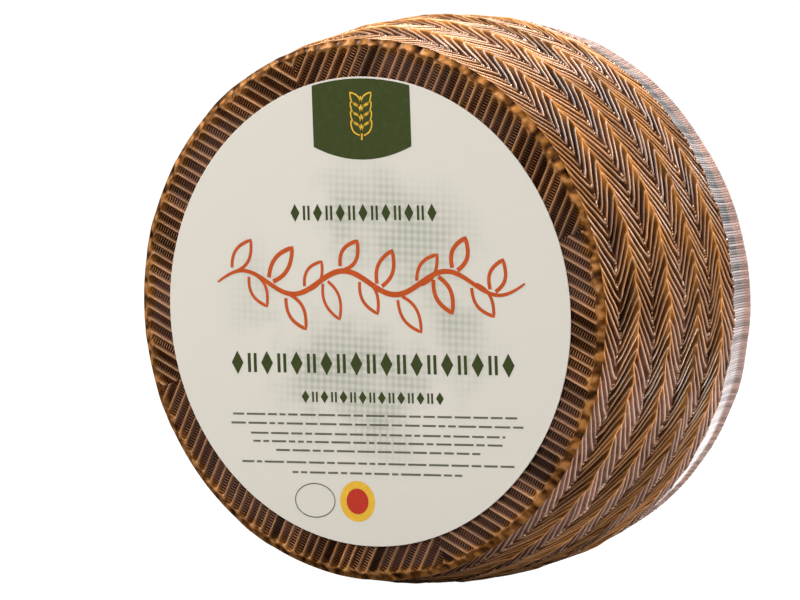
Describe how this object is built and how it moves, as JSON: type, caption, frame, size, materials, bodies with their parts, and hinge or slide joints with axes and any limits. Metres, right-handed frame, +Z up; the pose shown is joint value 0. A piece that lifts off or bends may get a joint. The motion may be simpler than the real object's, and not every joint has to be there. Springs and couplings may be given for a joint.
{
  "type": "manchego cheese wheel",
  "caption": "Whole wheel of hard sheep's-milk cheese standing on its rim, with a herringbone-marked rind and a round paper label on one face.",
  "frame": {"origin": "on the floor, under the middle of the wheel", "axes": "+Y along the wheel's axis from the labelled face to the back face, +Z up; the wheel stands on its rim"},
  "size_m": [0.1956, 0.1028, 0.1957],
  "materials": {
    "rind": "brown waxed rind, satin, darker in the grooves and tan on the ridges",
    "label_paper": "smooth cream paper with printed fields of dark green, orange and faded grey-green"
  },
  "bodies": {
    "root": {"cheese_wheel": "rind", "label": "label_paper"}
  },
  "joints": []
}
